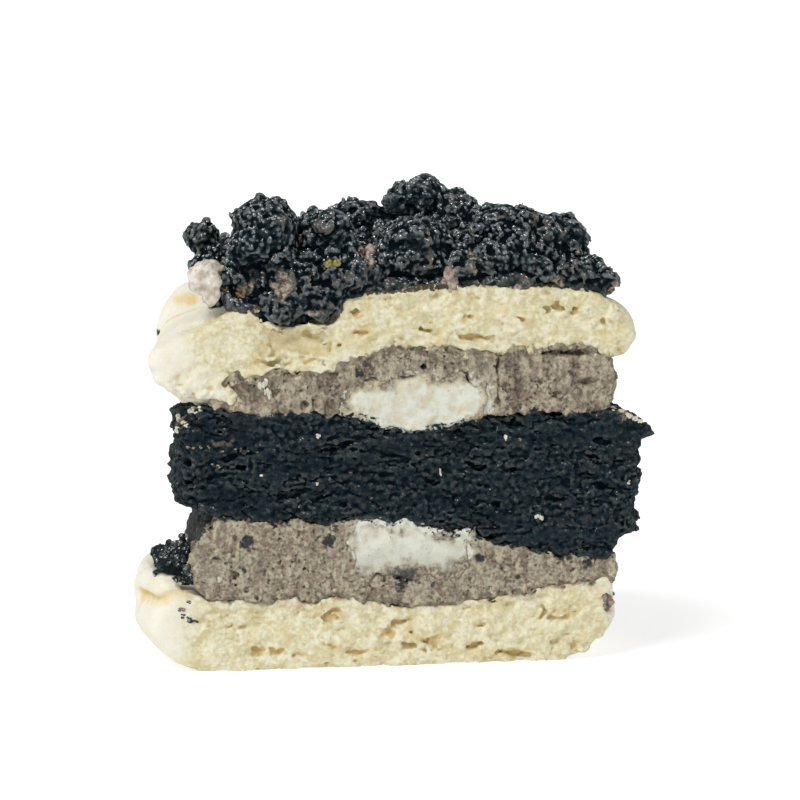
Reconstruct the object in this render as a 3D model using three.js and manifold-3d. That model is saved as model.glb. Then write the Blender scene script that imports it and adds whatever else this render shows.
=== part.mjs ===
// One piece of a tall filled macaron, cut upright. From the plate up: an almond shell, a ring of speckled
// buttercream round a white cream centre, a slab of black cake, a second ring with its own centre, the upper
// shell, and a crumble of black biscuit stuck on its dome. Millimetres, +Z up, and the cut faces -Y.

import * as THREE from "three";
import { mergeVertices } from "three/addons/utils/BufferGeometryUtils.js";
import Module from "manifold-3d";

const wasm = await Module();
wasm.setup();

// Driving dimensions
const CUT = 8; // the cut passes this far in front of the stack's axis
const GAP = 0.3; // clearance between neighbouring pieces
const OVERRUN = 1.5; // a filling is made this much too thick, and its neighbours then trim it
const SEED = 20; // of the crumble's random draws

const bottomShellSize = { x: -2, y: 0, radius: 26, top: 7.5, rim: 3.6, sectors: 48 };
const lowerCreamSize = { x: 1.2, y: 0, radius: 23.4, sectors: 36 };
const lowerCentreSize = { x: 0.5, y: -4, radius: 7.7, bottom: 9.6, sectors: 24 };
const cakeSize = { x: 1.5, y: 0, radius: 25.2, bottom: 15.7, top: 27.6, sectors: 48 };
const upperCreamSize = { x: 1, y: 0, radius: 23.1, sectors: 36 };
const upperCentreSize = { x: 1, y: -4, radius: 8.6, top: 31, sectors: 24 };
const topShellSize = { x: 0, y: 0, radius: 26.4, bottom: 33.7, top: 40.8, sectors: 48 };
const crumbleSize = { x: 0.8, y: 0, radius: 22, thickness: 4, front: 0.7, setBack: 1.4, sectors: 24 };

// Shaping helpers: a smooth step, a smooth hill, and a hill over the angle round the stack
const rise = (value, from, to) => THREE.MathUtils.smoothstep(value, from, to);
const hill = (value, centre, width) => Math.exp(-(((value - centre) / width) ** 2));

function facing(turn, degrees, width) {
  const off = turn - THREE.MathUtils.degToRad(degrees);
  return hill(Math.atan2(Math.sin(off), Math.cos(off)), 0, THREE.MathUtils.degToRad(width));
}

function seeded(seed) {
  return () => {
    seed = (seed + 0x6d2b79f5) | 0;
    let bits = Math.imul(seed ^ (seed >>> 15), 1 | seed);
    bits = (bits + Math.imul(bits ^ (bits >>> 7), 61 | bits)) ^ bits;
    return ((bits ^ (bits >>> 14)) >>> 0) / 4294967296;
  };
}

// Heights of the faces where the layers meet, at a place on the stack
function bottomShellTop(x, y) {
  const { rim, radius, top } = bottomShellSize;
  const fromAxis = Math.hypot(x - bottomShellSize.x, y);
  const turn = Math.atan2(y, x - bottomShellSize.x);
  const foot = rim * hill(fromAxis, radius - 1.4, 1.9) * (0.25 + 0.75 * facing(turn, 150, 75));
  return top + foot + 0.9 * rise(x, 12, 19) - 0.8 * hill(x, 1, 3) * hill(y, -CUT, 6);
}

function cakeBottom(x, y) {
  return cakeSize.bottom + 1.1 * rise(-x, 14, 22) - 4.6 * rise(x, -3, 20) * (1 - 0.5 * rise(y, -2, 14));
}

function cakeTop(x, y) {
  const dip = 2.2 * hill(Math.hypot(x - 0.3, y - upperCentreSize.y), 0, 6.5);
  const ledge = 1.6 * rise(x, 22.5, 28); // slopes down to a lip on the right
  return cakeSize.top - 0.5 * rise(x, -6, 10) - dip - ledge;
}

// The front left of the upper shell has cracked along a line and sunk
function flapSag(x, y) {
  const beforeCrack = -(x + 26) * 0.45 - (y - 3.5) * 0.89;
  return (2.2 * rise(-x, 1, 9) + 1.9 * rise(-x, 15, 25)) * rise(beforeCrack, -1.2, 1.2);
}

function topShellBottom(x, y) {
  return topShellSize.bottom - 0.35 * Math.sin(0.35 * x + 0.2 * y) - flapSag(x, y) - 0.7 * rise(x, 17, 25);
}

function domeTop(x, y) {
  const shoulder = 1.9 * hill(x, -24, 7) * hill(y, 4, 7); // swells behind the crack
  return topShellSize.top - 0.0016 * (x * x + y * y) - 0.7 * flapSag(x, y) + shoulder;
}

function crumbleTop(x, y) {
  const share = Math.hypot(x - crumbleSize.x, y) / crumbleSize.radius;
  return domeTop(x, y) + (crumbleSize.thickness - 0.07 * x) * (1 - 0.75 * share ** 4);
}

// Half sections, as [share of the radius, share of the height] from the axis below to the axis above
const floor = [[0, 0], [0.25, 0], [0.5, 0], [0.7, 0]];
const ceiling = [[0.7, 1], [0.5, 1], [0.25, 1], [0, 1]];
const sections = {
  bottomShell: [
    [0, 0], [0.3, 0], [0.6, 0], [0.79, 0], [0.87, 0.07], [0.935, 0.19], [0.975, 0.34], [1, 0.5], [1, 0.6],
    [0.985, 0.7], [0.99, 0.8], [0.985, 0.9], [0.965, 1], [0.92, 1], [0.87, 1], ...ceiling,
  ],
  cream: [
    [0, 0], [0.95, 0], [0.97, 0.18], [0.985, 0.32], [1, 0.5], [0.99, 0.66], [0.97, 0.82], [0.95, 1], [0, 1],
  ],
  centre: [
    [0, 0], [0.4, 0], [0.72, 0], [0.92, 0.14], [1, 0.45], [0.95, 0.76], [0.76, 0.96], [0.4, 1], [0, 1],
  ],
  cake: [
    ...floor, [0.85, 0], [0.94, 0], [0.975, 0.08], [0.985, 0.15], [1, 0.22], [0.99, 0.36], [1, 0.52],
    [0.985, 0.68], [0.995, 0.82], [0.99, 0.93], [0.97, 1], [0.88, 1], ...ceiling,
  ],
  topShell: [
    ...floor, [0.83, 0], [0.905, 0], [0.955, 0.07], [0.985, 0.19], [1, 0.34], [0.99, 0.5], [0.965, 0.66],
    [0.925, 0.79], [0.87, 0.89], [0.79, 0.96], ...ceiling,
  ],
  crumble: [[0, 0], [0.95, 0], [1, 0.4], [0.95, 0.85], [0.8, 1], [0.45, 1], [0, 1]],
};

// Uneven rims, in millimetres added to the radius at an angle and a share of the height
function shellRim(turn, height) {
  const ruffle = hill(height, 0.8, 0.16) * (0.22 * Math.sin(11 * turn) + 0.16 * Math.sin(15 * turn + 1));
  const crease = -0.9 * facing(turn, 185, 24) * hill(height, 0.62 + 0.5 * Math.sin(turn - 3), 0.1);
  return 0.35 * Math.sin(2 * turn + 0.6) + 0.2 * Math.sin(5 * turn) + ruffle + crease;
}

function topShellRim(turn, height) {
  const ruffle = hill(height, 0.15, 0.16) * (0.2 * Math.sin(10 * turn + 2) + 0.15 * Math.sin(14 * turn));
  const flap = 1.6 * facing(turn, 202, 16) + 1.6 * facing(turn, 198, 16) * hill(height, 0.6, 0.3);
  const notch = 0.9 * facing(turn, 160, 22);
  return 0.3 * Math.sin(3 * turn + 1) + 0.2 * Math.sin(4 * turn) + ruffle + flap - notch;
}

function creamRim(turn, height) {
  const folds = 0.25 * Math.sin(7 * turn + 1.3) + 0.15 * Math.sin(11 * turn + 4 * height);
  return 0.35 * Math.sin(3 * turn) + folds;
}

// The lower ring leans over the shell's foot on the left
function lowerCreamRim(turn, height) {
  return creamRim(turn, height) + 2.1 * facing(turn, 200, 18) * hill(height, 0.4, 0.35);
}

function cakeRim(turn, height) {
  const torn = 0.3 * Math.sin(8 * turn + 7 * height) + 0.28 * Math.sin(14 * turn - 11 * height);
  const lip = 2.8 * facing(turn, -17, 10) * hill(height, 0.94, 0.06);
  const spike = 0.5 * facing(turn, -16, 9) * hill(height, 0.21, 0.05);
  const undercut = 0.6 * (1 - rise(height, 0.6, 0.85)) + 1.9 * (1 - rise(height, 0.13, 0.2));
  const left = 0.45 * facing(turn, 195, 25);
  return 0.4 * Math.sin(2 * turn) + torn + lip + spike + left - undercut * facing(turn, -8, 26);
}

function centreRim(turn) {
  return 0.3 * Math.sin(3 * turn + 0.7) + 0.2 * Math.sin(5 * turn);
}

// A closed geometry as a solid, and the largest body of a solid without its scraps and sealed hollows
function solidOf(geometry) {
  geometry.deleteAttribute("normal");
  geometry.deleteAttribute("uv");
  const merged = mergeVertices(geometry);
  const vertProperties = merged.getAttribute("position").array;
  return new wasm.Manifold(
    new wasm.Mesh({ numProp: 3, vertProperties, triVerts: new Uint32Array(merged.index.array) }),
  );
}

function largestBody(solid) {
  return solid.decompose().reduce((best, body) => (body.volume() > best.volume() ? body : best));
}

// A round layer: a lathed section stretched between a lower and an upper face and out to an uneven rim.
// grow moves all its faces outwards.
function layer({ size, section, lower, upper, rim, grow = 0 }) {
  const disc = new THREE.LatheGeometry(section.map(([r, h]) => new THREE.Vector2(r, h)), size.sectors);
  disc.rotateX(Math.PI / 2);
  const at = disc.getAttribute("position");
  for (let i = 0; i < at.count; i++) {
    const share = Math.hypot(at.getX(i), at.getY(i));
    const turn = Math.atan2(at.getY(i), at.getX(i));
    const height = at.getZ(i);
    const reach = share * (size.radius + grow + share * rim(turn, height));
    const x = size.x + reach * Math.cos(turn);
    const y = size.y + reach * Math.sin(turn);
    const low = lower(x, y) - grow;
    const high = upper(x, y) + grow;
    at.setXYZ(i, x, y, low + height * (high - low));
  }
  return solidOf(disc);
}

// A face moved up or down by half a gap, so that neighbours stay clear of each other
const above = (face) => (x, y) => face(x, y) + GAP / 2;
const below = (face) => (x, y) => face(x, y) - GAP / 2;

// A lump of crumb: a coarse dented ball
function lump({ x, y, z, size, tall = 1, detail = 1, grow = 0 }) {
  const ball = new THREE.IcosahedronGeometry(1, detail);
  const at = ball.getAttribute("position");
  const phase = 1.7 * x + 2.3 * y;
  for (let i = 0; i < at.count; i++) {
    const [a, b, c] = [at.getX(i), at.getY(i), at.getZ(i)];
    const broad = 0.13 * Math.sin(3.3 * a + phase) * Math.cos(2.9 * b - phase);
    const fine = 0.09 * Math.sin(4.7 * c + 2 * phase);
    const reach = size * (1 + broad + fine) + grow;
    at.setXYZ(i, x + a * reach, y + b * reach, z + c * reach * tall);
  }
  return solidOf(ball);
}

const join = (solids) => wasm.Manifold.union(solids);

// Everything in front of an upright plane
function inFrontOf(distance) {
  const side = 200;
  return solidOf(new THREE.BoxGeometry(side, side, side).translate(0, -distance - side / 2, 0));
}

const frontOfCut = inFrontOf(CUT);

function bottomShellDish(grow = 0) {
  return layer({
    size: bottomShellSize,
    section: sections.bottomShell,
    lower: () => 0,
    upper: below(bottomShellTop),
    rim: shellRim,
    grow,
  });
}

// Cake crumb caught on the left of the lower shell's foot
function clump(grow = 0) {
  const places = [
    { x: -24.6, y: -4.2, z: 11, size: 1.7 },
    { x: -25.8, y: -3.4, z: 12.6, size: 1.2 },
    { x: -23.6, y: -5, z: 12.8, size: 1 },
  ];
  return join(places.map((place) => lump({ ...place, grow })));
}

// Lower shell, its smooth dome down, with the clump on it
function bottomShell() {
  return largestBody(bottomShellDish().subtract(frontOfCut).add(clump()));
}

// A dollop of white cream that runs into the cake, whose grown form then trims it
function lowerCentre(grow = 0) {
  return layer({
    size: lowerCentreSize,
    section: sections.centre,
    lower: () => lowerCentreSize.bottom,
    upper: (x, y) => cakeBottom(x, y) + OVERRUN,
    rim: centreRim,
    grow,
  }).subtract(frontOfCut);
}

function lowerCream() {
  const ring = layer({
    size: lowerCreamSize,
    section: sections.cream,
    lower: (x, y) => bottomShellTop(x, y) - OVERRUN,
    upper: (x, y) => cakeBottom(x, y) + OVERRUN,
    rim: lowerCreamRim,
  });
  const room = join([frontOfCut, bottomShellDish(GAP), clump(GAP), lowerCentre(GAP), cakeSlab(GAP)]);
  return largestBody(ring.subtract(room));
}

function cakeSlab(grow = 0) {
  return layer({
    size: cakeSize,
    section: sections.cake,
    lower: above(cakeBottom),
    upper: below(cakeTop),
    rim: cakeRim,
    grow,
  }).subtract(frontOfCut);
}

function upperCentre(grow = 0) {
  return layer({
    size: upperCentreSize,
    section: sections.centre,
    lower: (x, y) => cakeTop(x, y) - OVERRUN,
    upper: (x) => upperCentreSize.top + 0.06 * (x - upperCentreSize.x),
    rim: centreRim,
    grow,
  }).subtract(frontOfCut);
}

// A clod of the upper shell that hangs from the cracked flap, beside the cream
function hangingClod(grow = 0) {
  const places = [
    { x: -21.6, y: -6.6, z: 30, size: 2.6, tall: 0.72 },
    { x: -19.6, y: -7, z: 29.6, size: 1.7, tall: 0.8 },
  ];
  return join(places.map((place) => lump({ ...place, grow })));
}

function upperCream() {
  const ring = layer({
    size: upperCreamSize,
    section: sections.cream,
    lower: (x, y) => cakeTop(x, y) - OVERRUN,
    upper: (x, y) => topShellBottom(x, y) + OVERRUN,
    rim: creamRim,
  });
  const room = join([frontOfCut, cakeSlab(GAP), upperCentre(GAP), topShellDome(GAP), hangingClod(GAP)]);
  return largestBody(ring.subtract(room));
}

// Crumbs that have sunk into the broken dome at the cut
const sunkCrumbs = [
  { x: -13.2, y: -7.2, z: 38.8, size: 2.5 },
  { x: -9.4, y: -7, z: 38.9, size: 2.4 },
];

function topShellDome(grow = 0) {
  return layer({
    size: topShellSize,
    section: sections.topShell,
    lower: above(topShellBottom),
    upper: below(domeTop),
    rim: topShellRim,
    grow,
  });
}

function topShell() {
  const brokenHollow = lump({ x: -11.2, y: -CUT - 2.8, z: 35, size: 4.7, tall: 0.5 });
  const bites = sunkCrumbs.map((place) => lump({ ...place, grow: GAP }));
  const broken = topShellDome().subtract(join([frontOfCut, brokenHollow, ...bites]));
  const clod = hangingClod().subtract(frontOfCut);
  return largestBody(broken.add(clod));
}

// Large crumbs that stand out of the crumble, a row of small ones along the cut, then more spread evenly
function crumbPlaces() {
  const large = [
    { x: -20.4, y: 3, z: 45.5, size: 2.1 },
    { x: -19.4, y: 2.4, z: 42.8, size: 2.3 },
    { x: -14.8, y: -4.6, z: 45.9, size: 3.9 },
    { x: -18, y: -5.4, z: 42.4, size: 2.6 },
    { x: -7.6, y: -4.2, z: 46.6, size: 3 },
    { x: -3.8, y: 3.6, z: 46.7, size: 3 },
    { x: -7, y: -6.2, z: 42, size: 2.8 },
    { x: 2.2, y: 2.4, z: 48.6, size: 2.9 },
    { x: 7.2, y: 1.2, z: 46.9, size: 3.2 },
    { x: 1.4, y: -5.2, z: 44.6, size: 3.6 },
    { x: 11.4, y: -3.4, z: 45.4, size: 3.4 },
    { x: 16.6, y: -2.6, z: 44.9, size: 3.1 },
    { x: 19.6, y: -1.8, z: 43.8, size: 1.6 },
    { x: 20, y: -4.6, z: 41.6, size: 2.4 },
  ].map((place) => ({ ...place, detail: 1 }));
  const random = seeded(SEED);
  const small = [];
  const place = (x, y, lift, size) => {
    const hidden = large.some((one) => Math.hypot(one.x - x, one.y - y) < 0.6 * one.size);
    if (!hidden) small.push({ x, y, z: lift, size, detail: 0 });
  };
  for (let x = -18.5; x < 22; x += 3.6) {
    const y = -CUT + 1.2 + 0.9 * random();
    place(x, y, domeTop(x, y) + 1 + 2.2 * random(), 2 + 0.8 * random());
  }
  const count = 50;
  const goldenAngle = Math.PI * (3 - Math.sqrt(5));
  for (let i = 0; i < count; i++) {
    const reach = (crumbleSize.radius - 0.4) * Math.sqrt((i + 0.5) / count);
    const x = crumbleSize.x + reach * Math.cos(i * goldenAngle);
    const y = reach * Math.sin(i * goldenAngle);
    const size = 2.3 + 1.2 * random();
    const lift = crumbleTop(x, y) + size * (0.6 * random() - 0.4);
    if (y > -CUT + 2.6) place(x, y, lift, size);
  }
  return [...large, ...sunkCrumbs, ...small];
}

function crumble() {
  const bed = layer({
    size: crumbleSize,
    section: sections.crumble,
    lower: (x, y) => domeTop(x, y) - OVERRUN,
    upper: crumbleTop,
    rim: creamRim,
  }).subtract(inFrontOf(CUT - crumbleSize.setBack));
  const domeRoom = topShellDome(GAP).subtract(join(sunkCrumbs.map(lump)));
  const heap = join([bed, ...crumbPlaces().map(lump)]);
  return largestBody(heap.subtract(domeRoom).subtract(inFrontOf(CUT + crumbleSize.front)));
}

function meshOf(name, solid, material) {
  const { vertProperties, triVerts } = solid.getMesh();
  const geometry = new THREE.BufferGeometry();
  geometry.setAttribute("position", new THREE.BufferAttribute(vertProperties, 3));
  geometry.setIndex(new THREE.BufferAttribute(triVerts, 1));
  geometry.computeVertexNormals();
  const mesh = new THREE.Mesh(geometry, material);
  mesh.name = name;
  return mesh;
}

const finish = (color, roughness) => new THREE.MeshStandardMaterial({ color, roughness, metalness: 0 });
const almondShell = finish("#e6dfbe", 0.7);
const speckledCream = finish("#96897a", 0.6);
const whiteCream = finish("#dcdccb", 0.55);
const blackCake = finish("#20282c", 0.8);
const blackCrumb = finish("#24282a", 0.55);

const macaron = new THREE.Group();
macaron.add(
  meshOf("bottom_shell", bottomShell(), almondShell),
  meshOf("lower_cream", lowerCream(), speckledCream),
  meshOf("lower_centre", lowerCentre().subtract(cakeSlab(GAP)), whiteCream),
  meshOf("cake_slab", cakeSlab(), blackCake),
  meshOf("upper_cream", upperCream(), speckledCream),
  meshOf("upper_centre", upperCentre().subtract(cakeSlab(GAP)), whiteCream),
  meshOf("top_shell", topShell(), almondShell),
  meshOf("crumble", crumble(), blackCrumb),
);

// The origin is at the middle of the whole, on the plate
const bounds = new THREE.Box3().setFromObject(macaron);
const middle = bounds.getCenter(new THREE.Vector3());
macaron.position.set(-middle.x, -middle.y, -bounds.min.z);

export default macaron;
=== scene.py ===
import math
from concurrent.futures import ThreadPoolExecutor
from functools import lru_cache
import bmesh
import bpy
import numpy as np
from mathutils import Euler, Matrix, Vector
from mathutils.bvhtree import BVHTree


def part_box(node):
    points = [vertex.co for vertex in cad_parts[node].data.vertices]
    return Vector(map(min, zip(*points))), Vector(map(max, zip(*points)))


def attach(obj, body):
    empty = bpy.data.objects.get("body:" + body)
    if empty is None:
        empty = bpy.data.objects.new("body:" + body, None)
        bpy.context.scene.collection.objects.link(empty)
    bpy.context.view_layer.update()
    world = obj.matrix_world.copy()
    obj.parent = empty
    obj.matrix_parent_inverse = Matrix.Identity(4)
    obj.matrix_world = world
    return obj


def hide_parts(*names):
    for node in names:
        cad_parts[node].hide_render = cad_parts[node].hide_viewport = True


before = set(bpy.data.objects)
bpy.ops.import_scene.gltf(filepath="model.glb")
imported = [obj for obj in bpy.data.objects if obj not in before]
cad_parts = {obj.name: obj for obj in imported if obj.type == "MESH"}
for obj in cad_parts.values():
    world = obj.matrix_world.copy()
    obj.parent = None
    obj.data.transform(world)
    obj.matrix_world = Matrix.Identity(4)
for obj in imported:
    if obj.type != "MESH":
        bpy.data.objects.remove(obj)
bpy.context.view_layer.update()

mm = 0.001  # shapes are worked out in millimetres, and Blender holds metres
solidStep = 0.6  # spacing at which a solid is measured
solidMargin = 1.8  # measured this far round it
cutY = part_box("cake_slab")[0].y / mm  # the knife's plane, which faces -Y
axisY = cutY + 8  # the stack's own axis stands this far behind the cut
stackX = (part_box("top_shell")[0].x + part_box("top_shell")[1].x) / 2 / mm


# soft steps and hills, on arrays
def rise(value, start, end):
    share = np.clip((value - start) / (end - start), 0, 1)
    return share * share * (3 - 2 * share)


def hill(value, centre, width):
    return np.exp(-(((value - centre) / width) ** 2))


def stretchFrom(points, middle, radii):  # distance from an ellipsoid's middle, 1 on its face
    away = (points - np.array(middle, np.float32)) / np.array(radii, np.float32)
    return np.sqrt((away ** 2).sum(1))


def lens(points, middle, radii):  # a soft mark, 1 in its middle
    return np.exp(-stretchFrom(points, middle, radii) ** 2)


def lump(points, middle, radii, start, end):  # a mark with a firm edge, 1 inside
    return 1 - rise(stretchFrom(points, middle, radii), start, end)


def patches(across, height, places):  # soft marks on the cut: x, z, half width, half height
    mark = np.zeros(len(across), np.float32)
    for x, z, wide, high in places:
        mark = np.maximum(mark, np.exp(-((across - x) / wide) ** 2 - ((height - z) / high) ** 2))
    return mark


def behindCut(points):
    return points[:, 1] - cutY


def nearCut(points, start, end):  # 1 as far as start mm behind the cut, 0 from end mm
    return 1 - rise(behindCut(points), start, end)


def fromAxis(points, x=stackX):
    return np.hypot(points[:, 0] - x, points[:, 1] - axisY)


def stretched(points, x, y, z):
    return points * np.array((x, y, z), np.float32)


# seeded noise on lists of points, in a lattice turned away from the layers
latticeSide = 32
beadScatter = 0.85  # how far beads stand from even rows, in cells
beadLevel = 0.45  # distance from a bead's middle that counts as 0
latticeTurn = np.array(Euler((0.6, 0.9, 0.3)).to_matrix(), np.float32)
corners = [(i, j, k) for i in (0, 1) for j in (0, 1) for k in (0, 1)]


def cornerShares(part):  # each corner of a cell, and how much it counts at a place inside
    x, y, z = part.T
    for i, j, k in corners:
        yield (i, j, k), (x if i else 1 - x) * (y if j else 1 - y) * (z if k else 1 - z)


@lru_cache(None)
def latticeTable(seed):
    return np.random.default_rng(seed).random((latticeSide ** 3, 4), dtype=np.float32)


def latticeCells(points, size, shift):
    place = points.astype(np.float32) @ latticeTurn * np.float32(1 / size) - np.float32(shift)
    cell = np.floor(place)
    low = cell.astype(np.int32) & (latticeSide - 1)
    high = (low + 1) & (latticeSide - 1)
    rows = [(low[:, n] * latticeSide ** (2 - n), high[:, n] * latticeSide ** (2 - n)) for n in range(3)]
    return rows, place - cell


def noise(points, size, seed):  # soft lumps from -1 to 1, size mm across
    rows, part = latticeCells(points, size, 0)
    values = latticeTable(seed)[:, 0] * 2 - 1
    total = 0
    for (i, j, k), share in cornerShares(part * part * (3 - 2 * part)):
        total = total + share * values[rows[0][i] + rows[1][j] + rows[2][k]]
    return total


def fractal(points, size, octaves, seed, fall=0.55):
    return sum(noise(points, size / 2 ** n, seed + n) * fall ** n for n in range(octaves))


def grains(points, size, seed):  # packed beads, under 0 on top and over 0 in the creases, in mm
    rows, part = latticeCells(points, size, 0.5)
    nearest = np.full(len(points), 9, np.float32)
    for i, j, k in corners:
        there = latticeTable(seed)[rows[0][i] + rows[1][j] + rows[2][k]]
        away = ((there[:, :3] - 0.5) * beadScatter + np.array((i, j, k), np.float32) - part) ** 2
        nearest = np.minimum(away[:, 0] + away[:, 1] + away[:, 2], nearest)
    return (np.sqrt(nearest) - beadLevel) * size


def inParts(work, *arrays):  # spreads the work over the processor's cores
    parts = [np.array_split(a, max(1, len(arrays[0]) // 30000)) for a in arrays]
    with ThreadPoolExecutor() as pool:
        return np.concatenate(list(pool.map(work, *parts)))


# a solid's field: depth is the signed distance to its faces
def crossings(tree, x, y, start):
    heights = []
    while True:
        place = tree.ray_cast(Vector((x, y, start)), Vector((0, 0, 1)))[0]
        if place is None:
            return heights
        heights.append(place.z)
        start = place.z + 1e-4


def blurred(values, reach):  # box mean of a grid
    for n in range(3):
        before = np.take(values, [0] * (reach + 1), n)
        after = np.take(values, [-1] * reach, n)
        run = np.cumsum(np.concatenate([before, values, after], n), n, dtype=np.float32)
        ends = [np.take(run, range(s, s + values.shape[n]), n) for s in (2 * reach + 1, 0)]
        values = (ends[0] - ends[1]) / (2 * reach + 1)
    return values


def vertexPlaces(mesh):
    places = np.empty(len(mesh.vertices) * 3, np.float32)
    mesh.vertices.foreach_get("co", places)
    return places.reshape(-1, 3) / mm


def measureSolid(name):
    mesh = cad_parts[name].data
    points = vertexPlaces(mesh)
    mesh.calc_loop_triangles()
    tree = BVHTree.FromPolygons(points.tolist(), [t.vertices for t in mesh.loop_triangles])
    low = points.min(0) - solidMargin - 0.0137  # off the solids' own round numbers
    axes = [np.arange(low[n], points[:, n].max() + solidMargin + solidStep, solidStep) for n in range(3)]
    depth = np.empty([len(axis) for axis in axes], np.float32)
    for i, x in enumerate(axes[0]):
        for j, y in enumerate(axes[1]):
            inside = np.searchsorted(crossings(tree, x, y, low[2] - 1), axes[2]) % 2 == 1
            depth[i, j] = [tree.find_nearest(Vector((x, y, z)))[3] for z in axes[2]]
            depth[i, j, inside] *= -1
    return {"low": low, "axes": axes, "depth": depth, "round": blurred(blurred(depth, 1), 1)}


def sample(grid, low, step, points):  # a grid's value at each point, blended from the eight round it
    place = np.clip((points - low) / step, 0, np.array(grid.shape[:3]) - 1.001).astype(np.float32)
    cell = np.floor(place).astype(np.int32)
    total = 0
    for (i, j, k), share in cornerShares(place - cell):
        value = grid[cell[:, 0] + i, cell[:, 1] + j, cell[:, 2] + k]
        total = total + (share[:, None] if grid.ndim == 4 else share) * value
    return total


def refine(grid, axes, fineAxes):  # the same grid at closer samples
    for n in range(3):
        place = np.clip((fineAxes[n] - axes[n][0]) / solidStep, 0, len(axes[n]) - 1.001)
        cell = np.floor(place).astype(int)
        part = (place - cell).astype(np.float32).reshape([-1 if m == n else 1 for m in range(3)])
        grid = np.take(grid, cell, n) * (1 - part) + np.take(grid, cell + 1, n) * part
    return grid


# one unevenness through all layers, so that they still meet: slow everywhere, ragged in the soft fillings
swayStep = 0.4
nodeBoxes = np.array([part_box(name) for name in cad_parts], np.float32) / mm
swayMargin = 2
swayLow = nodeBoxes[:, 0].min(0) - swayMargin
swayHigh = nodeBoxes[:, 1].max(0) + swayMargin


def swayAt(points):
    height = points[:, 2]
    ragged = nearCut(points, 2, 5) * (1 - rise(fromAxis(points), 22, 25))
    ragged = ragged * (1 - rise(height, 36, 39)) * rise(height, 4, 7)
    soft = rise(height, 7, 11) * (1 - rise(height, 31, 36))
    shift = []
    for n in range(3):
        slow = 0.4 * noise(points, 7.5, 900 + n) + 0.15 * noise(points, 2.8, 910 + n)
        quick = 0.3 * noise(points, 1.25, 920 + n)
        shift.append(slow + soft * quick + ragged * (quick + 0.35 * noise(points, 2.1, 930 + n)))
    shift[1] = shift[1] * rise(behindCut(points), 0.8, 5)
    return np.stack(shift, 1) * rise(height, 0.4, 3)[:, None]  # none where it stands


def makeSway():
    count = np.ceil((swayHigh - swayLow) / swayStep).astype(int) + 1
    places = np.stack(np.meshgrid(*[np.arange(n) for n in count], indexing="ij"), 3).reshape(-1, 3)
    return inParts(swayAt, (places * swayStep + swayLow).astype(np.float32)).reshape(*count, 3)


swayGrid = makeSway()
solids = {name: measureSolid(name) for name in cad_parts}
print("solids measured")


def sway(points):
    return sample(swayGrid, swayLow, swayStep, points)


def near(name, points, kind="depth"):  # distance to a solid, swayed as its piece is
    solid = solids[name]
    return sample(solid[kind], solid["low"], solidStep, points + sway(points))


def within(points, *names):  # how far inside the outline of a layer on the cut, in mm
    moved = points + sway(points)
    moved[:, 1] = np.maximum(moved[:, 1], cutY + 1.5)
    depths = [sample(solids[n]["depth"], solids[n]["low"], solidStep, moved) for n in names]
    return -np.minimum.reduce(depths)


# a smooth net over the zero level of a grid:
# a vertex in each cell that the level crosses, a quad round each edge that it crosses
def netOver(values, axes):
    inside = values < 0
    count = np.zeros([n - 1 for n in values.shape], np.uint8)
    for corner in corners:
        count += inside[tuple(slice(start, start + n) for start, n in zip(corner, count.shape))]
    crossed = (count > 0) & (count < 8)
    index = np.full(crossed.shape, -1, np.int32)
    index[crossed] = np.arange(crossed.sum())
    cell = np.argwhere(crossed)
    total = np.zeros((len(cell), 3), np.float32)
    hits = np.zeros(len(cell), np.float32)
    for corner in corners:
        for axis in range(3):
            if corner[axis]:
                continue
            start = np.array(corner)
            end = start + np.eye(3, dtype=int)[axis]
            a = values[tuple((cell + start).T)]
            b = values[tuple((cell + end).T)]
            cut = (a < 0) != (b < 0)
            share = np.where(cut, a / np.where(cut, a - b, 1), 0)
            total += np.where(cut[:, None], start + share[:, None] * (end - start), 0)
            hits += cut
    share = total / hits[:, None]
    points = np.empty_like(share)
    for n in range(3):
        start = axes[n][cell[:, n]]
        points[:, n] = start + share[:, n] * (axes[n][cell[:, n] + 1] - start)
    quads = []
    for axis in range(3):
        u, v = np.eye(3, dtype=int)[[(axis + 1) % 3, (axis + 2) % 3]]
        ahead = np.take(inside, range(1, values.shape[axis]), axis)
        here = np.take(inside, range(values.shape[axis] - 1), axis)
        edge = np.argwhere(ahead != here)
        ring = np.stack([index[tuple((edge - s).T)] for s in (u + v, v, 0 * u, u)], 1)
        quads.append(np.where(here[tuple(edge.T)][:, None], ring, ring[:, ::-1]))
    return points, np.concatenate(quads)


def largestIsland(points, quads):  # drops scraps and sealed bubbles
    label = np.arange(len(points))
    pairs = np.concatenate([quads[:, [0, 1]], quads[:, [1, 2]], quads[:, [2, 3]]])
    while True:
        lowest = np.minimum(label[pairs[:, 0]], label[pairs[:, 1]])
        new = label.copy()
        np.minimum.at(new, pairs[:, 0], lowest)
        np.minimum.at(new, pairs[:, 1], lowest)
        new = new[new]
        if (new == label).all():
            break
        label = new
    keep = label == np.bincount(label).argmax()
    number = np.cumsum(keep) - 1
    return points[keep], number[quads[keep[quads[:, 0]]]]


def addObject(name, data):
    thing = bpy.data.objects.new(name, data)
    bpy.context.scene.collection.objects.link(thing)
    return thing


def meshObject(name, points, faces, material):  # points in mm, faces all of one size
    mesh = bpy.data.meshes.new(name)
    sides = faces.shape[1]
    mesh.vertices.add(len(points))
    mesh.vertices.foreach_set("co", (points * mm).astype(np.float32).ravel())
    mesh.loops.add(faces.size)
    mesh.loops.foreach_set("vertex_index", faces.astype(np.int32).ravel())
    mesh.polygons.add(len(faces))
    mesh.polygons.foreach_set("loop_start", np.arange(0, faces.size, sides, dtype=np.int32))
    mesh.update(calc_edges=True)
    mesh.validate()
    mesh.shade_smooth()
    mesh.materials.append(material)
    return addObject(name, mesh)


def triangleCount(mesh):
    return len(mesh.loops) - 2 * len(mesh.polygons)


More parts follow.
